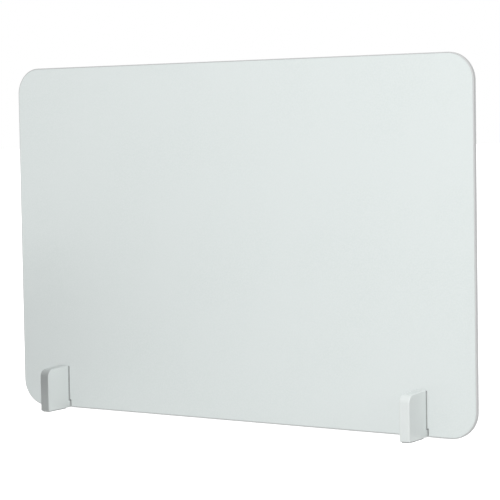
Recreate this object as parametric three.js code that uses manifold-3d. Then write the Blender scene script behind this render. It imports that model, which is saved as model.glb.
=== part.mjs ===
// A free-standing desk privacy panel: a thin laminated board that stands in two slotted feet.
//
// The board has a rigid core, a face sheet on each side and a rounded edge band.
// Each foot is a plate at right angles to the board. A deep slot in its top takes the board,
// and a low notch in the board's lower edge takes the floor of the slot, so that the two
// cross as a lap and stay level underneath.
//
// Millimetres. +Z is up, +X runs along the board and -Y is the front.
// The origin is on the desk top, under the middle of the board.

import * as THREE from 'three';
import { mergeVertices } from 'three/addons/utils/BufferGeometryUtils.js';
import Module from 'manifold-3d';

// ---- Board ----
const BOARD_WIDTH = 600;
const BOARD_HEIGHT = 400;
const BOARD_THICKNESS = 5.5;
const BOARD_CORNER_RADIUS = 30;
const SHEET_THICKNESS = 0.6;
const GLUE_LINE = 0.1;
const BAND_DEPTH = 1;             // how far the edge band reaches in from the board's outline
const BAND_ROUNDING = 0.8;

// ---- Feet ----
const FOOT_SPACING = 474;         // from the middle of one foot to the middle of the other
const FOOT_LENGTH = 86;           // front to back
const FOOT_WIDTH = 12;
const FOOT_TOP = 51;              // above the desk, at the mouth of the slot
const FOOT_TOP_SLOPE = 3;         // degrees that the top falls towards each end
const FOOT_TOP_RADIUS = 9;        // the front and back corners of the side profile
const FOOT_SMALL_RADIUS = 1.2;    // the bottom corners and the mouth of the slot
const FOOT_EDGE_ROUNDING = 1;
const PAD_THICKNESS = 1;
const PAD_WIDTH = 9.8;
const PAD_LENGTH = 33;
const PAD_CORNER_RADIUS = 2;
const PAD_MARGIN = 1.5;           // from the end of the foot to the end of the pad

// ---- The lap ----
const NOTCH_HEIGHT = 9;
const LINER_WALL = 2.4;
const LINER_FLOOR = 1;            // thickness of the liner under the board
const LINER_SETBACK = 0.2;        // from the side of the foot to the end of the liner
const LINER_GLUE_LINE = 0.05;
const SLIDING_GAP = 0.1;          // between the liner and each face of the board
const NOTCH_SIDE_GAP = 1.2;       // between the foot and each side of the board's notch

// ---- Derived sizes ----
const FOOT_BOTTOM = PAD_THICKNESS;
const BOARD_BOTTOM = FOOT_BOTTOM;
const BOARD_TOP = BOARD_BOTTOM + BOARD_HEIGHT;
const CORE_THICKNESS = BOARD_THICKNESS - 2 * (SHEET_THICKNESS + GLUE_LINE);
const NOTCH_WIDTH = FOOT_WIDTH + 2 * NOTCH_SIDE_GAP;
const NOTCH_TOP = BOARD_BOTTOM + NOTCH_HEIGHT;
const LINER_INNER_WIDTH = BOARD_THICKNESS + 2 * SLIDING_GAP;
const LINER_OUTER_WIDTH = LINER_INNER_WIDTH + 2 * LINER_WALL;
const LINER_LENGTH = FOOT_WIDTH - 2 * LINER_SETBACK;
const LINER_BOTTOM = NOTCH_TOP - SLIDING_GAP - LINER_FLOOR;
const LINER_TOP = FOOT_TOP - FOOT_SMALL_RADIUS;
const SLOT_WIDTH = LINER_OUTER_WIDTH + 2 * LINER_GLUE_LINE;
const SLOT_FLOOR = LINER_BOTTOM - LINER_GLUE_LINE;
const PAD_OFFSET = FOOT_LENGTH / 2 - PAD_MARGIN - PAD_LENGTH / 2;
const FOOT_PLACES = { left: -FOOT_SPACING / 2, right: FOOT_SPACING / 2 };

// ---- Smoothness ----
const ARC_SEGMENTS = 8;
const ROUNDING_SEGMENTS = 3;

// ---- Materials ----
const finishes = {
  sheet: { color: 0xe2ebe9, roughness: 0.45, metalness: 0 },
  core: { color: 0xd9dcd6, roughness: 0.85, metalness: 0 },
  band: { color: 0xdfe1e1, roughness: 0.5, metalness: 0 },
  foot: { color: 0xdde3e2, roughness: 0.35, metalness: 0 },
  liner: { color: 0x999c9c, roughness: 0.8, metalness: 0 },
  pad: { color: 0xb4b7b7, roughness: 0.85, metalness: 0 },
};

const wasm = await Module();
wasm.setup();

// ---- Helpers ----

function toSolid(geometry) {
  const bare = geometry.clone();
  bare.deleteAttribute('normal');
  bare.deleteAttribute('uv');
  const merged = mergeVertices(bare);
  return new wasm.Manifold(new wasm.Mesh({
    numProp: 3,
    vertProperties: Float32Array.from(merged.attributes.position.array),
    triVerts: Uint32Array.from(merged.index.array),
  }));
}

function toGeometry(solid) {
  const mesh = solid.getMesh();
  const geometry = new THREE.BufferGeometry();
  geometry.setAttribute('position', new THREE.BufferAttribute(mesh.vertProperties, 3));
  geometry.setIndex(new THREE.BufferAttribute(mesh.triVerts, 1));
  return geometry;
}

// Extrudes a shape by a thickness, centred on its own plane, with optionally rounded edges.
function slab(shape, thickness, rounding = 0) {
  const geometry = new THREE.ExtrudeGeometry(shape, {
    depth: thickness - 2 * rounding,
    curveSegments: ARC_SEGMENTS,
    bevelEnabled: rounding > 0,
    bevelThickness: rounding,
    bevelSize: rounding,
    bevelOffset: -rounding,
    bevelSegments: ROUNDING_SEGMENTS,
  });
  return geometry.translate(0, 0, rounding - thickness / 2);
}

// Stands a slab up: its shape lies in the XZ plane and its thickness runs along Y.
function facingFront(geometry) {
  return geometry.rotateX(Math.PI / 2);
}

// Stands a slab up across the board: its shape lies in the YZ plane.
function facingSide(geometry) {
  const along = new THREE.Vector3(0, 1, 0);
  const up = new THREE.Vector3(0, 0, 1);
  const across = new THREE.Vector3(1, 0, 0);
  return geometry.applyMatrix4(new THREE.Matrix4().makeBasis(along, up, across));
}

function box(lowX, highX, lowY, highY, lowZ, highZ) {
  const geometry = new THREE.BoxGeometry(highX - lowX, highY - lowY, highZ - lowZ);
  return geometry.translate((lowX + highX) / 2, (lowY + highY) / 2, (lowZ + highZ) / 2);
}

function piece(name, geometry, finish) {
  const mesh = new THREE.Mesh(geometry, new THREE.MeshStandardMaterial(finish));
  mesh.name = name;
  return mesh;
}

// ---- Board ----

// The board's outline moved in by a distance, with a notch in its lower edge at each place given.
function boardShape(inset, notchPlaces = []) {
  const side = BOARD_WIDTH / 2 - inset;
  const bottom = BOARD_BOTTOM + inset;
  const top = BOARD_TOP - inset;
  const radius = BOARD_CORNER_RADIUS - inset;
  const quarter = Math.PI / 2;
  const shape = new THREE.Shape();
  notchPlaces.forEach((place, index) => {
    const left = place - NOTCH_WIDTH / 2;
    const right = place + NOTCH_WIDTH / 2;
    if (index === 0) {
      shape.moveTo(left, bottom);
    } else {
      shape.lineTo(left, bottom);
    }
    shape.lineTo(left, NOTCH_TOP);
    shape.lineTo(right, NOTCH_TOP);
    shape.lineTo(right, bottom);
  });
  shape.absarc(side - radius, bottom + radius, radius, -quarter, 0);
  shape.absarc(side - radius, top - radius, radius, 0, quarter);
  shape.absarc(radius - side, top - radius, radius, quarter, 2 * quarter);
  shape.absarc(radius - side, bottom + radius, radius, 2 * quarter, 3 * quarter);
  return shape;
}

// The core or a face sheet: all the layers share one outline, inside the edge band.
function boardLayer(thickness, middleY) {
  const shape = boardShape(BAND_DEPTH + GLUE_LINE, Object.values(FOOT_PLACES));
  return facingFront(slab(shape, thickness)).translate(0, middleY, 0);
}

// The edge band is a ring round the board. The notches cut it into a long piece
// that goes up, over and down, and a short piece along the bottom between the feet.
function edgeBands() {
  const outer = toSolid(facingFront(slab(boardShape(0), BOARD_THICKNESS, BAND_ROUNDING)));
  const inner = toSolid(facingFront(slab(boardShape(BAND_DEPTH), 2 * BOARD_THICKNESS)));
  const ring = outer.subtract(inner);
  const notch = NOTCH_WIDTH / 2;
  const [firstPlace, lastPlace] = Object.values(FOOT_PLACES);
  const depth = BOARD_THICKNESS;
  const betweenFeet = box(firstPlace + notch, lastPlace - notch, -depth, depth, -1, NOTCH_TOP);
  const acrossFeet = box(firstPlace - notch, lastPlace + notch, -depth, depth, -1, NOTCH_TOP);
  return {
    long: toGeometry(ring.subtract(toSolid(acrossFeet))),
    short: toGeometry(ring.intersect(toSolid(betweenFeet))),
  };
}

function makeBoard() {
  const board = new THREE.Group();
  const sheetY = (BOARD_THICKNESS - SHEET_THICKNESS) / 2;
  const bands = edgeBands();
  board.add(piece('board_core', boardLayer(CORE_THICKNESS, 0), finishes.core));
  board.add(piece('front_face_sheet', boardLayer(SHEET_THICKNESS, -sheetY), finishes.sheet));
  board.add(piece('rear_face_sheet', boardLayer(SHEET_THICKNESS, sheetY), finishes.sheet));
  board.add(piece('edge_band', bands.long, finishes.band));
  board.add(piece('lower_edge_band', bands.short, finishes.band));
  return board;
}

// ---- Feet ----

// The side profile of a foot, with the board's slot open at the top. The top falls from the
// slot to each end, and its large corner arcs touch that slope.
function footShape() {
  const quarter = Math.PI / 2;
  const half = FOOT_LENGTH / 2;
  const mouth = SLOT_WIDTH / 2 + FOOT_SMALL_RADIUS;
  const large = FOOT_TOP_RADIUS;
  const small = FOOT_SMALL_RADIUS;
  const slope = THREE.MathUtils.degToRad(FOOT_TOP_SLOPE);
  const mouthHeight = FOOT_TOP - small;
  const fall = Math.sin(slope) * (half - large - mouth);
  const cornerHeight = mouthHeight - (large - small + fall) / Math.cos(slope);
  const shape = new THREE.Shape();
  shape.moveTo(-SLOT_WIDTH / 2, SLOT_FLOOR);
  shape.lineTo(SLOT_WIDTH / 2, SLOT_FLOOR);
  shape.absarc(mouth, mouthHeight, small, 2 * quarter, quarter - slope, true);
  shape.absarc(half - large, cornerHeight, large, quarter - slope, 0, true);
  shape.absarc(half - small, FOOT_BOTTOM + small, small, 0, -quarter, true);
  shape.absarc(small - half, FOOT_BOTTOM + small, small, -quarter, -2 * quarter, true);
  shape.absarc(large - half, cornerHeight, large, 2 * quarter, quarter + slope, true);
  shape.absarc(-mouth, mouthHeight, small, quarter + slope, 0, true);
  return shape;
}

// The soft strip folded into the slot, which grips both faces of the board.
function linerShape() {
  const outer = LINER_OUTER_WIDTH / 2;
  const inner = LINER_INNER_WIDTH / 2;
  const floor = LINER_BOTTOM + LINER_FLOOR;
  const shape = new THREE.Shape();
  shape.moveTo(-outer, LINER_BOTTOM);
  shape.lineTo(outer, LINER_BOTTOM);
  shape.lineTo(outer, LINER_TOP);
  shape.lineTo(inner, LINER_TOP);
  shape.lineTo(inner, floor);
  shape.lineTo(-inner, floor);
  shape.lineTo(-inner, LINER_TOP);
  shape.lineTo(-outer, LINER_TOP);
  return shape;
}

// A thin anti-slip pad with rounded corners, seen from above.
function padShape() {
  const radius = PAD_CORNER_RADIUS;
  const side = PAD_WIDTH / 2 - radius;
  const end = PAD_LENGTH / 2 - radius;
  const quarter = Math.PI / 2;
  const shape = new THREE.Shape();
  shape.absarc(side, end, radius, 0, quarter);
  shape.absarc(-side, end, radius, quarter, 2 * quarter);
  shape.absarc(-side, -end, radius, 2 * quarter, 3 * quarter);
  shape.absarc(side, -end, radius, 3 * quarter, 4 * quarter);
  return shape;
}

function makeFoot(side) {
  const foot = new THREE.Group();
  const body = facingSide(slab(footShape(), FOOT_WIDTH, FOOT_EDGE_ROUNDING));
  const liner = facingSide(slab(linerShape(), LINER_LENGTH));
  foot.add(piece(`${side}_foot`, body, finishes.foot));
  foot.add(piece(`${side}_slot_liner`, liner, finishes.liner));
  for (const [end, direction] of [['front', -1], ['rear', 1]]) {
    const pad = piece(`${side}_${end}_pad`, slab(padShape(), PAD_THICKNESS), finishes.pad);
    pad.position.set(0, direction * PAD_OFFSET, PAD_THICKNESS / 2);
    foot.add(pad);
  }
  foot.position.x = FOOT_PLACES[side];
  return foot;
}

// ---- Assembly ----

const panel = new THREE.Group();
panel.add(makeBoard());
panel.add(makeFoot('left'));
panel.add(makeFoot('right'));

export default panel;
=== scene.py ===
"""Looks for the desk privacy panel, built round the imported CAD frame.

Metres, +Z up, +X along the board, -Y the front. Every piece is made in the frame's own
coordinates, so its object sits at the origin and its place is in its mesh.
"""

import math

import bmesh
import bpy
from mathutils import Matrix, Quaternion, Vector


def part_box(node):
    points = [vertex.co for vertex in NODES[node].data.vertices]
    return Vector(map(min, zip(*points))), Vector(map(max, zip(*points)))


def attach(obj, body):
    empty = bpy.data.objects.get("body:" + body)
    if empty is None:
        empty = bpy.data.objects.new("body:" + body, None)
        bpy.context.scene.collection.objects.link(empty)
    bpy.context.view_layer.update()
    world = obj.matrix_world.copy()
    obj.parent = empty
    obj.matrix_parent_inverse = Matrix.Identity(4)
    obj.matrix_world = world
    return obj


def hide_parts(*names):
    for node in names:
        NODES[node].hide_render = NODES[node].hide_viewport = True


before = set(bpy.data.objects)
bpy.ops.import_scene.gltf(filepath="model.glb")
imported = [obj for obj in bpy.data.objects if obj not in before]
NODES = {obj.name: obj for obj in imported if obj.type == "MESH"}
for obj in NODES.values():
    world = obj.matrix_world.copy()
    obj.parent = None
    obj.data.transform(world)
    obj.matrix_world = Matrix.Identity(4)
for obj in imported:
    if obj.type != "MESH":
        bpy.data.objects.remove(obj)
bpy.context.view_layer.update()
MM = 0.001

# ---- Sizes that the frame's boxes don't give, the same as in the CAD ----
BOARD_CORNER_RADIUS = 30 * MM
BAND_DEPTH = 1 * MM
BAND_ROUNDING = 0.8 * MM
FOOT_TOP_SLOPE = math.radians(3)
FOOT_TOP_RADIUS = 9 * MM
FOOT_SMALL_RADIUS = 1.2 * MM
FOOT_EDGE_ROUNDING = 1 * MM
NOTCH_SIDE_GAP = 1.2 * MM
LINER_WALL = 2.4 * MM
LINER_FLOOR = 1 * MM               # thickness of the liner under the board
PAD_CORNER_RADIUS = 2 * MM
SLIDING_GAP = 0.1 * MM             # between the board and the liner
LINER_GLUE_LINE = 0.05 * MM
SEAM_ROUNDING = 0.12 * MM          # the tiny rounding along a face sheet's cut edge
RUBBER_ROUNDING = 0.2 * MM

QUARTER = math.pi / 2
ARC_STEPS = 28                     # points in a quarter turn of a large corner
SMALL_ARC_STEPS = 10
SIDES = ("left", "right")
ENDS = ("front", "rear")

FLOOR_BOUNCE = (0.15, 0.15, 0.15)  # the floor's colour to light that bounces off it


# ---- Node materials ----

class Paint:
    """A small helper that wires up one procedural material."""

    def __init__(self, name):
        self.material = bpy.data.materials.new(name)
        self.material.use_nodes = True
        self.tree = self.material.node_tree
        self.shader = self.tree.nodes["Principled BSDF"]
        self.place = self.tree.nodes.new("ShaderNodeTexCoord").outputs["Object"]

    def node(self, kind, **settings):
        made = self.tree.nodes.new(kind)
        for key, value in settings.items():
            setattr(made, key, value)
        return made

    def link(self, source, target):
        self.tree.links.new(source, target)

    def uniform(self, **values):
        """Sets sockets of the shader that are the same all over the surface."""
        for key, value in values.items():
            self.shader.inputs[key.replace("_", " ")].default_value = value

    def stretched(self, stretch):
        """The piece's own coordinates, in metres, multiplied along each axis."""
        mapping = self.node("ShaderNodeMapping")
        mapping.inputs["Scale"].default_value = stretch
        self.link(self.place, mapping.inputs["Vector"])
        return mapping.outputs["Vector"]

    def noise(self, scale, detail=2.0, roughness=0.5, stretch=(1, 1, 1)):
        made = self.node("ShaderNodeTexNoise")
        made.inputs["Scale"].default_value = scale
        made.inputs["Detail"].default_value = detail
        made.inputs["Roughness"].default_value = roughness
        self.link(self.stretched(stretch), made.inputs["Vector"])
        return made.outputs["Fac"]

    def spread(self, value, low, high, ease=(0.3, 0.7)):
        """Maps a noise value, which stays near its middle, to a range."""
        made = self.node("ShaderNodeMapRange", interpolation_type="SMOOTHSTEP")
        made.inputs["From Min"].default_value = ease[0]
        made.inputs["From Max"].default_value = ease[1]
        made.inputs["To Min"].default_value = low
        made.inputs["To Max"].default_value = high
        self.link(value, made.inputs["Value"])
        return made.outputs["Result"]

    def mix(self, factor, first, second):
        """Mixes two colours by a socket. Each one is a colour or a socket."""
        made = self.node("ShaderNodeMix", data_type="RGBA")
        self.link(factor, made.inputs["Factor"])
        for socket, colour in ((made.inputs[6], first), (made.inputs[7], second)):
            if isinstance(colour, tuple):
                socket.default_value = (*colour, 1)
            else:
                self.link(colour, socket)
        return made.outputs[2]

    def colour(self, source):
        self.link(source, self.shader.inputs["Base Color"])

    def roughness(self, source):
        self.link(source, self.shader.inputs["Roughness"])

    def bump(self, *layers):
        """Stacks bumps. Each layer is a height source and its depth in metres."""
        below = None
        for height, depth in layers:
            made = self.node("ShaderNodeBump")
            made.inputs["Strength"].default_value = 1.0
            made.inputs["Distance"].default_value = depth
            self.link(height, made.inputs["Height"])
            if below is not None:
                self.link(below, made.inputs["Normal"])
            below = made.outputs["Normal"]
        self.link(below, self.shader.inputs["Normal"])


def face_sheet_material():
    """Off-white satin laminate with a faint green-grey tint and a fine, soft pebble."""
    paint = Paint("face_sheet")
    cloud = paint.spread(paint.noise(9, detail=3), 0.0, 1.0)
    speck = paint.spread(paint.noise(620, detail=2), 0.0, 1.0)
    tint = paint.mix(cloud, (0.735, 0.790, 0.778), (0.755, 0.806, 0.797))
    paint.colour(paint.mix(speck, tint, (0.765, 0.815, 0.806)))
    paint.roughness(paint.spread(paint.noise(46, detail=4), 0.40, 0.50))
    paint.uniform(IOR=1.46)
    paint.bump(
        (paint.noise(1500, detail=2), 0.012 * MM),
        (paint.noise(24, detail=2), 0.05 * MM),
    )
    return paint.material


def edge_band_material():
    """Neutral-white extruded band with fine streaks along its run."""
    paint = Paint("edge_band")
    streak = paint.noise(1, detail=3, stretch=(14, 5200, 14))
    cloud = paint.noise(30, detail=3)
    base = paint.mix(paint.spread(cloud, 0.0, 1.0), (0.580, 0.590, 0.588), (0.600, 0.610, 0.607))
    paint.colour(paint.mix(paint.spread(streak, 0.0, 0.5), base, (0.625, 0.635, 0.632)))
    paint.roughness(paint.spread(streak, 0.38, 0.52))
    paint.uniform(IOR=1.5)
    paint.bump((streak, 0.010 * MM), (paint.noise(900), 0.006 * MM))
    return paint.material


def core_material():
    """Rigid foamed sheet: matte, with fine open cells where it is cut."""
    paint = Paint("board_core")
    cells = paint.noise(2600, detail=4, roughness=0.7)
    shade = paint.spread(cells, 0.0, 1.0, ease=(0.35, 0.65))
    paint.colour(paint.mix(shade, (0.52, 0.53, 0.49), (0.68, 0.69, 0.65)))
    paint.roughness(paint.spread(cells, 0.78, 0.95))
    paint.bump((cells, 0.08 * MM))
    return paint.material


def foot_material():
    """Off-white moulded plastic, smoother and glossier than the board."""
    paint = Paint("foot")
    cloud = paint.spread(paint.noise(28, detail=2), 0.0, 1.0)
    grain = paint.noise(2400, detail=2)
    base = paint.mix(cloud, (0.742, 0.782, 0.772), (0.754, 0.793, 0.783))
    paint.colour(paint.mix(paint.spread(grain, 0.0, 0.25), base, (0.72, 0.76, 0.75)))
    paint.roughness(paint.spread(paint.noise(120, detail=3), 0.28, 0.34))
    paint.uniform(IOR=1.5)
    paint.bump((grain, 0.003 * MM), (paint.noise(30, detail=1), 0.02 * MM))
    return paint.material


def rubber_material(name, dark, light):
    """Matte rubber with a fine grain."""
    paint = Paint(name)
    grain = paint.noise(3200, detail=3, roughness=0.6)
    dust = paint.spread(paint.noise(220, detail=4), 0.0, 1.0, ease=(0.45, 0.75))
    paint.colour(paint.mix(dust, dark, light))
    paint.roughness(paint.spread(grain, 0.72, 0.90))
    paint.uniform(IOR=1.5)
    paint.bump((grain, 0.05 * MM))
    return paint.material


def floor_material():
    """Plain pale floor, darker to the light that it throws back up than it looks."""
    paint = Paint("floor")
    cloud = paint.spread(paint.noise(1.5), 0.0, 1.0)
    pale = paint.mix(cloud, (0.90, 0.90, 0.90), (0.92, 0.92, 0.92))
    bounced = paint.node("ShaderNodeLightPath").outputs["Is Diffuse Ray"]
    paint.colour(paint.mix(bounced, pale, FLOOR_BOUNCE))
    paint.uniform(Roughness=0.9)
    return paint.material


def flag_material():
    """Black cloth, on the card that shades the lower left."""
    paint = Paint("flag")
    weave = paint.spread(paint.noise(400), 0.0, 1.0)
    paint.colour(paint.mix(weave, (0.01, 0.01, 0.01), (0.02, 0.02, 0.02)))
    paint.uniform(Roughness=1.0)
    return paint.material


MATERIALS = {
    "face_sheet": face_sheet_material(),
    "edge_band": edge_band_material(),
    "board_core": core_material(),
    "foot": foot_material(),
    # The slot liner's mid grey is partly its own colour and partly painted shade: darker than the
    # foot, it stands in for the shade in the joint between foot and board.
    "slot_liner": rubber_material("slot_liner", (0.37, 0.38, 0.38), (0.41, 0.42, 0.42)),
    "anti_slip_pad": rubber_material("anti_slip_pad", (0.44, 0.45, 0.45), (0.50, 0.51, 0.51)),
}


# ---- Outlines ----

def arc(centre, radius, start, end, steps=ARC_STEPS):
    """Points along an arc in a plane, from one angle to another."""
    points = []
    for step in range(steps + 1):
        angle = start + (end - start) * step / steps
        points.append((centre[0] + radius * math.cos(angle), centre[1] + radius * math.sin(angle)))
    return points


def board_outline(low, high, radius, notches=()):
    """The board seen from the front, as (x, z) points, with a notch at each foot."""
    points = []
    for left, right, top in notches:
        points += [(left, low.z), (left, top), (right, top), (right, low.z)]
    inner_x = high.x - radius
    low_z = low.z + radius
    high_z = high.z - radius
    points += arc((inner_x, low_z), radius, -QUARTER, 0)
    points += arc((inner_x, high_z), radius, 0, QUARTER)
    points += arc((-inner_x, high_z), radius, QUARTER, 2 * QUARTER)
    points += arc((-inner_x, low_z), radius, 2 * QUARTER, 3 * QUARTER)
    return points


def foot_outline(foot_low, foot_high, slot_half, slot_floor):
    """A foot seen from the side, as (y, z) points, with the slot open at the top.

    The top falls from the slot to each end, and its large corner arcs touch that slope.
    """
    half = foot_high.y
    bottom = foot_low.z
    large = FOOT_TOP_RADIUS
    small = FOOT_SMALL_RADIUS
    slope = FOOT_TOP_SLOPE
    mouth = slot_half + small
    mouth_z = foot_high.z - small
    fall = math.sin(slope) * (half - large - mouth)
    corner_z = mouth_z - (large - small + fall) / math.cos(slope)
    points = [(-slot_half, slot_floor), (slot_half, slot_floor)]
    points += arc((mouth, mouth_z), small, 2 * QUARTER, QUARTER - slope, SMALL_ARC_STEPS)
    points += arc((half - large, corner_z), large, QUARTER - slope, 0)
    points += arc((half - small, bottom + small), small, 0, -QUARTER, SMALL_ARC_STEPS)
    points += arc((small - half, bottom + small), small, -QUARTER, -2 * QUARTER, SMALL_ARC_STEPS)
    points += arc((large - half, corner_z), large, 2 * QUARTER, QUARTER + slope)
    points += arc((-mouth, mouth_z), small, QUARTER + slope, 0, SMALL_ARC_STEPS)
    return points


# ---- Mesh helpers ----

PLANES = {
    "front": lambda u, v, w: (u, w, v),    # outline in XZ, thickness along Y
    "side": lambda u, v, w: (w, u, v),     # outline in YZ, thickness along X
    "top": lambda u, v, w: (u, v, w),      # outline in XY, thickness along Z
}


def finish_piece(name, mesh, material, body, replaced):
    """Makes the object of a finished mesh and says what it stands for."""
    piece = bpy.data.objects.new(name, mesh)
    bpy.context.scene.collection.objects.link(piece)
    piece.data.materials.append(MATERIALS[material])
    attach(piece, body)
    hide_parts(replaced)
    return piece


def mesh_from(build):
    """A mesh made by a function that fills a bmesh, with its faces pointing out."""
    shape = bmesh.new()
    build(shape)
    bmesh.ops.recalc_face_normals(shape, faces=shape.faces)
    mesh = bpy.data.meshes.new("mesh")
    shape.to_mesh(mesh)
    shape.free()
    return mesh


def plate(outline, low, high, plane):
    """A closed plate: the outline, extruded from low to high across its plane."""
    place = PLANES[plane]

    def build(shape):
        near = [shape.verts.new(place(u, v, low)) for u, v in outline]
        far = [shape.verts.new(place(u, v, high)) for u, v in outline]
        shape.faces.new(near)
        shape.faces.new(list(reversed(far)))
        for index in range(len(outline)):
            after = (index + 1) % len(outline)
            shape.faces.new((near[index], near[after], far[after], far[index]))

    return mesh_from(build)


def round_edges(piece, width, segments, sharpest=math.radians(40)):
    """Rounds a piece's sharp edges and gives it smooth shading across them."""
    for polygon in piece.data.polygons:
        polygon.use_smooth = True
    bevel = piece.modifiers.new("rounding", "BEVEL")
    bevel.width = width
    bevel.segments = segments
    bevel.limit_method = "ANGLE"
    bevel.angle_limit = sharpest
    bevel.miter_outer = "MITER_ARC"
    bevel.harden_normals = True


# ---- Board ----

board_low, board_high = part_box("edge_band")
core_low, core_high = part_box("board_core")
foot_boxes = {side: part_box(f"{side}_foot") for side in SIDES}
liner_boxes = {side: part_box(f"{side}_slot_liner") for side in SIDES}
NOTCH_TOP = liner_boxes["left"][0].z + LINER_FLOOR + SLIDING_GAP


def notch_sides(side):
    """Where a notch in the board's lower edge begins and ends, along X."""
    low, high = foot_boxes[side]
    return low.x - NOTCH_SIDE_GAP, high.x + NOTCH_SIDE_GAP


def make_face_sheet(name):
    """A face sheet, flush with the edge band and cut round both feet."""
    low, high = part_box(name)
    notches = [(*notch_sides(side), NOTCH_TOP) for side in SIDES]
    radius = BOARD_CORNER_RADIUS - (board_high.x - core_high.x)
    outline = board_outline(low, high, radius, notches)
    mesh = plate(outline, low.y, high.y, "front")
    piece = finish_piece(name + "_surface", mesh, "face_sheet", "board", name)
    round_edges(piece, SEAM_ROUNDING, 2)


def band_section(steps=8):
    """The band's cross-section as (distance out from the board's outline, y) points."""
    depth = -BAND_DEPTH
    centre = -BAND_ROUNDING
    front = arc((centre, board_low.y + BAND_ROUNDING), BAND_ROUNDING, -QUARTER, 0, steps)
    rear = arc((centre, board_high.y - BAND_ROUNDING), BAND_ROUNDING, 0, QUARTER, steps)
    return [(depth, board_high.y), (depth, board_low.y)] + front + rear


def band_stations(first, last):
    """Places round the board's outline, each with its outward direction, as (point, outward).

    The run goes from the bottom edge at x = first, round the right end, over the top and down
    the left end, to the bottom edge at x = last.
    """
    radius = BOARD_CORNER_RADIUS
    inner_x = board_high.x - radius
    low_z = board_low.z + radius
    high_z = board_high.z - radius
    stations = [((first, board_low.z), (0, -1))]
    corners = (
        ((inner_x, low_z), -QUARTER),
        ((inner_x, high_z), 0),
        ((-inner_x, high_z), QUARTER),
        ((-inner_x, low_z), 2 * QUARTER),
    )
    for centre, start in corners:
        for step in range(ARC_STEPS + 1):
            angle = start + QUARTER * step / ARC_STEPS
            out = (math.cos(angle), math.sin(angle))
            stations.append(((centre[0] + radius * out[0], centre[1] + radius * out[1]), out))
    stations.append(((last, board_low.z), (0, -1)))
    return stations


def sweep(stations, section):
    """Sweeps a closed section along stations, closed at both ends."""

    def build(shape):
        rings = []
        for point, out in stations:
            ring = []
            for distance, y in section:
                x = point[0] + distance * out[0]
                z = point[1] + distance * out[1]
                ring.append(shape.verts.new((x, y, z)))
            rings.append(ring)
        for ring, after in zip(rings[:-1], rings[1:]):
            for index in range(len(section)):
                follow = (index + 1) % len(section)
                shape.faces.new((ring[index], ring[follow], after[follow], after[index]))
        shape.faces.new(rings[0])
        shape.faces.new(list(reversed(rings[-1])))

    return mesh_from(build)


def make_edge_bands():
    """The long band round the board and the short one along the bottom between the feet."""
    left_notch = notch_sides("left")
    right_notch = notch_sides("right")
    long_mesh = sweep(band_stations(right_notch[1], left_notch[0]), band_section())
    short_run = [((left_notch[1], board_low.z), (0, -1)), ((right_notch[0], board_low.z), (0, -1))]
    short_mesh = sweep(short_run, band_section())
    for name, mesh in (("edge_band", long_mesh), ("lower_edge_band", short_mesh)):
        piece = finish_piece(name + "_surface", mesh, "edge_band", "board", name)
        round_edges(piece, SEAM_ROUNDING, 2, sharpest=math.radians(60))


# ---- Feet ----

def make_foot(side):
    """The moulded plate, with its slot and its softened edges.

    It throws no light back onto the board, which stays even in tone beside it.
    """
    low, high = foot_boxes[side]
    liner_low, liner_high = liner_boxes[side]
    slot_half = liner_high.y + LINER_GLUE_LINE
    slot_floor = liner_low.z - LINER_GLUE_LINE
    outline = foot_outline(low, high, slot_half, slot_floor)
    mesh = plate(outline, low.x, high.x, "side")
    name = f"{side}_foot"
    piece = finish_piece(name + "_body", mesh, "foot", name, name)
    round_edges(piece, FOOT_EDGE_ROUNDING, 6)
    piece.visible_diffuse = False
    return piece


def make_slot_liner(side):
    """The soft U-shaped strip in the slot. Its grey is partly painted shade along the joint
    between foot and board.
    """
    low, high = liner_boxes[side]
    inner = high.y - LINER_WALL
    floor = low.z + LINER_FLOOR
    outline = [
        (low.y, low.z), (high.y, low.z), (high.y, high.z), (inner, high.z),
        (inner, floor), (-inner, floor), (-inner, high.z), (low.y, high.z),
    ]
    mesh = plate(outline, low.x, high.x, "side")
    name = f"{side}_slot_liner"
    piece = finish_piece(name + "_strip", mesh, "slot_liner", f"{side}_foot", name)
    round_edges(piece, RUBBER_ROUNDING, 3)


def make_pad(side, end):
    """A thin anti-slip pad with rounded corners."""
    name = f"{side}_{end}_pad"
    low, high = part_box(name)
    radius = PAD_CORNER_RADIUS
    corners = (
        (high.x - radius, high.y - radius),
        (low.x + radius, high.y - radius),
        (low.x + radius, low.y + radius),
        (high.x - radius, low.y + radius),
    )
    outline = []
    for turn, corner in enumerate(corners):
        outline += arc(corner, radius, turn * QUARTER, (turn + 1) * QUARTER, SMALL_ARC_STEPS)
    mesh = plate(outline, low.z, high.z, "top")
    piece = finish_piece(name + "_rubber", mesh, "anti_slip_pad", f"{side}_foot", name)
    round_edges(piece, RUBBER_ROUNDING, 3)


# ---- Studio ----

CAMERA_PLACE = Vector((1.1433, -1.7212, 0.3231))
CAMERA_AZIMUTH = math.radians(33.03)     # round to the right from straight in front
CAMERA_TILT = math.radians(3.02)         # looking down
CAMERA_ROLL = math.radians(0.95)
CAMERA_LENS = 134.22
CAMERA_SHIFT_Y = -0.0411

# Each softbox: where it is, where it points, its width and height, its power and what it lights.
# The left foot stands in shade: the key and the fill leave it out, and a lamp of its own, far
# round to the right, lights its side.
SOFTBOXES = {
    "key": ((0.75, -2.3, 1.1), (0.0, 0.0, 0.2), (0.9, 0.9), 37.8, "all but the left foot"),
    "right_fill": ((2.4, -0.2, 0.8), (0.0, 0.0, 0.2), (0.8, 0.8), 9.3, "all but the left foot"),
    "foot_fill": ((2.2, -0.2, 0.5), (-0.2, 0.0, 0.03), (0.6, 0.6), 20.3, "the left foot"),
}
FLOOR_WASH_STRENGTH = 3.2
FLOOR_WASH_SOFTNESS = math.radians(70)
FLOOR_REACH = 30
FLAG_X = -0.36
FLAG_EDGES = (-0.45, -0.05, 0.17)      # its nearest and furthest y, and its height
SKY_SEEN = 1.0          # what the camera sees behind the floor
SKY_LIGHT = 0.545       # what falls on the object


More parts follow.
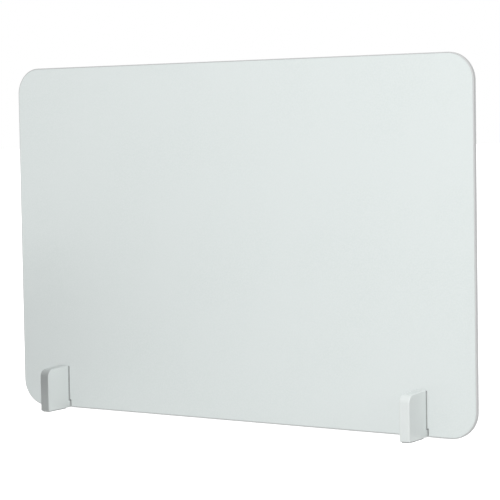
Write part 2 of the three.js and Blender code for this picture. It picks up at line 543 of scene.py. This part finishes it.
def place_object(name, data):
    """The object of a lamp or the camera, to be turned by a quaternion."""
    made = bpy.data.objects.new(name, data)
    bpy.context.scene.collection.objects.link(made)
    made.rotation_mode = "QUATERNION"
    return made


def make_camera():
    """The camera at the photograph's viewing angle."""
    data = bpy.data.cameras.new("camera")
    data.lens = CAMERA_LENS
    data.sensor_width = 36
    data.shift_y = CAMERA_SHIFT_Y
    data.clip_start = 0.05
    data.clip_end = 100
    forward = Vector((
        -math.sin(CAMERA_AZIMUTH) * math.cos(CAMERA_TILT),
        math.cos(CAMERA_AZIMUTH) * math.cos(CAMERA_TILT),
        -math.sin(CAMERA_TILT),
    ))
    camera = place_object("camera", data)
    camera.location = CAMERA_PLACE
    level = forward.to_track_quat("-Z", "Y")
    camera.rotation_quaternion = Quaternion(forward, CAMERA_ROLL) @ level
    bpy.context.scene.camera = camera


def stage_plane(name, corners, material):
    """A flat four-cornered piece of the studio."""
    mesh = bpy.data.meshes.new(name)
    mesh.from_pydata(corners, [], [(0, 1, 2, 3)])
    mesh.materials.append(material)
    plane = bpy.data.objects.new(name, mesh)
    bpy.context.scene.collection.objects.link(plane)
    return plane


def make_floor():
    """A wide pale floor."""
    far = FLOOR_REACH
    corners = [(-far, -far, 0), (far, -far, 0), (far, far, 0), (-far, far, 0)]
    return stage_plane("floor", corners, floor_material())


def make_flag():
    """A black card beside the left foot, out of the camera's sight, that shades the lower left."""
    near, far, top = FLAG_EDGES
    corners = [(FLAG_X, near, 0), (FLAG_X, far, 0), (FLAG_X, far, top), (FLAG_X, near, top)]
    flag = stage_plane("flag", corners, flag_material())
    flag.visible_camera = False


def light_only(lamp, pieces, state, unshaded=False):
    """Makes a lamp light only some pieces, or everything but them.

    Unshaded, nothing but those pieces throws a shadow in its light.
    """
    group = bpy.data.collections.new(lamp.name + "_receivers")
    for piece in pieces:
        group.objects.link(piece)
    for member in group.collection_objects:
        member.light_linking.link_state = state
    lamp.light_linking.receiver_collection = group
    if unshaded:
        lamp.light_linking.blocker_collection = group


def make_softbox(name, left_foot):
    """A rectangular lamp that lights the left foot only, or everything but it."""
    place, target, size, power, receivers = SOFTBOXES[name]
    data = bpy.data.lights.new(name, "AREA")
    data.shape = "RECTANGLE"
    data.size, data.size_y = size
    data.energy = power
    lamp = place_object(name, data)
    lamp.location = place
    lamp.rotation_quaternion = (Vector(target) - Vector(place)).to_track_quat("-Z", "Y")
    lamp.visible_camera = False
    state = "INCLUDE" if receivers == "the left foot" else "EXCLUDE"
    light_only(lamp, [left_foot], state)


def make_floor_wash(floor):
    """A soft light from above that only the floor catches, so that it looks white."""
    data = bpy.data.lights.new("floor_wash", "SUN")
    data.energy = FLOOR_WASH_STRENGTH
    data.angle = FLOOR_WASH_SOFTNESS
    light_only(place_object("floor_wash", data), [floor], "INCLUDE", unshaded=True)


def make_world():
    """A white surround, dimmer to the object than to the camera."""
    world = bpy.data.worlds.new("studio")
    bpy.context.scene.world = world
    world.use_nodes = True
    nodes = world.node_tree.nodes
    links = world.node_tree.links
    path = nodes.new("ShaderNodeLightPath")
    strength = nodes.new("ShaderNodeMapRange")
    strength.inputs["To Min"].default_value = SKY_LIGHT
    strength.inputs["To Max"].default_value = SKY_SEEN
    nodes["Background"].inputs["Color"].default_value = (1, 1, 1, 1)
    links.new(path.outputs["Is Camera Ray"], strength.inputs["Value"])
    links.new(strength.outputs["Result"], nodes["Background"].inputs["Strength"])


def make_studio(left_foot):
    make_world()
    make_floor_wash(make_floor())
    make_flag()
    for name in SOFTBOXES:
        make_softbox(name, left_foot)
    bpy.context.scene.view_settings.view_transform = "Standard"


# ---- Everything in order ----

NODES["board_core"].data.materials.clear()
NODES["board_core"].data.materials.append(MATERIALS["board_core"])
for sheet_name in ("front_face_sheet", "rear_face_sheet"):
    make_face_sheet(sheet_name)
make_edge_bands()
foot_pieces = {}
for side_name in SIDES:
    foot_pieces[side_name] = make_foot(side_name)
    make_slot_liner(side_name)
    for end_name in ENDS:
        make_pad(side_name, end_name)
make_camera()
make_studio(foot_pieces["left"])
